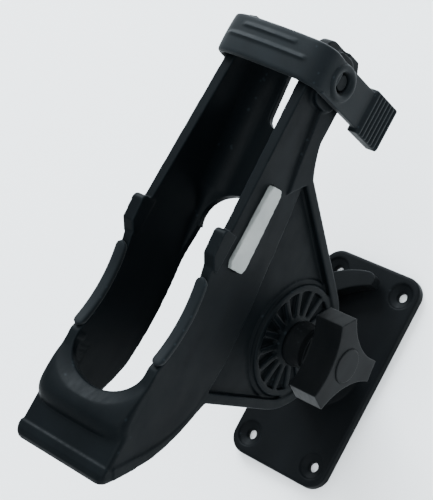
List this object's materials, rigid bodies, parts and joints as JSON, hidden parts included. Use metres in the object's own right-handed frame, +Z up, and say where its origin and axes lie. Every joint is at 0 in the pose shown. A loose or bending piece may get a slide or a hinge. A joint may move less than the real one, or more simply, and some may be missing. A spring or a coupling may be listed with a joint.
{
  "type": "adjustable fishing rod holder",
  "caption": "Deck-mount fishing rod holder: an open cradle with a hold-down strap tilts and swivels on a post and is clamped by a lobed knob.",
  "frame": {"origin": "centre of the mounting plate's underside, on the swivel axis", "axes": "+Z up along the swivel axis, +Y along the cradle towards the rod tip end, +X along the tilt axis towards the knob"},
  "size_m": [0.0795, 0.1961, 0.1564],
  "materials": {
    "cradle_plastic": "satin black moulded nylon with a fine mould texture",
    "base_plastic": "satin black moulded nylon, slightly worn",
    "post_plastic": "satin black moulded nylon",
    "lever_plastic": "satin black moulded nylon with a thumb-polished tip",
    "knob_plastic": "black moulded plastic with polished edges",
    "bush_plastic": "natural acetal",
    "strap_rubber": "black moulded rubber",
    "pad_rubber": "black moulded rubber",
    "badge_grey": "light grey moulded badge, plain",
    "steel": "stainless steel, turned",
    "brass": "turned brass"
  },
  "bodies": {
    "mount": {"mount_base": "base_plastic", "socket_bush": "bush_plastic", "lever_pin": "steel", "lever_washer": "steel"},
    "lever": {"lock_lever": "lever_plastic"},
    "post": {"swivel_post": "post_plastic", "clamp_bolt": "steel"},
    "cradle": {"cradle_body": "cradle_plastic", "hub_bush": "bush_plastic", "side_badge": "badge_grey", "left_rim_pad": "pad_rubber", "right_rim_pad": "pad_rubber", "strap_hinge_pin": "steel", "strap_stud": "cradle_plastic"},
    "strap": {"locking_strap": "strap_rubber", "strap_pull_tab": "strap_rubber"},
    "knob": {"knob_body": "knob_plastic", "knob_insert": "brass", "knob_cap": "knob_plastic", "knob_washer": "steel"}
  },
  "joints": [
    {"name": "lever_swing", "type": "hinge", "parent": "mount", "child": "lever", "pos_m": [-0.022, 0.025, 0.012], "axis": [0, 0, 1], "range_deg": [0, 22]},
    {"name": "post_swivel", "type": "hinge", "parent": "mount", "child": "post", "pos_m": [0, 0, 0.018], "axis": [0, 0, 1], "continuous": true},
    {"name": "cradle_tilt", "type": "hinge", "parent": "post", "child": "cradle", "pos_m": [0, -0.0018, 0.072], "axis": [1, 0, 0], "range_deg": [-50, 70]},
    {"name": "knob_turn", "type": "hinge", "parent": "post", "child": "knob", "pos_m": [0.03, -0.0018, 0.072], "axis": [1, 0, 0], "continuous": true},
    {"name": "strap_open", "type": "hinge", "parent": "cradle", "child": "strap", "pos_m": [-0.0232, 0.094, 0.1435], "axis": [0, -1, 0], "range_deg": [0, 110], "deforming": ["strap_pull_tab"]}
  ]
}
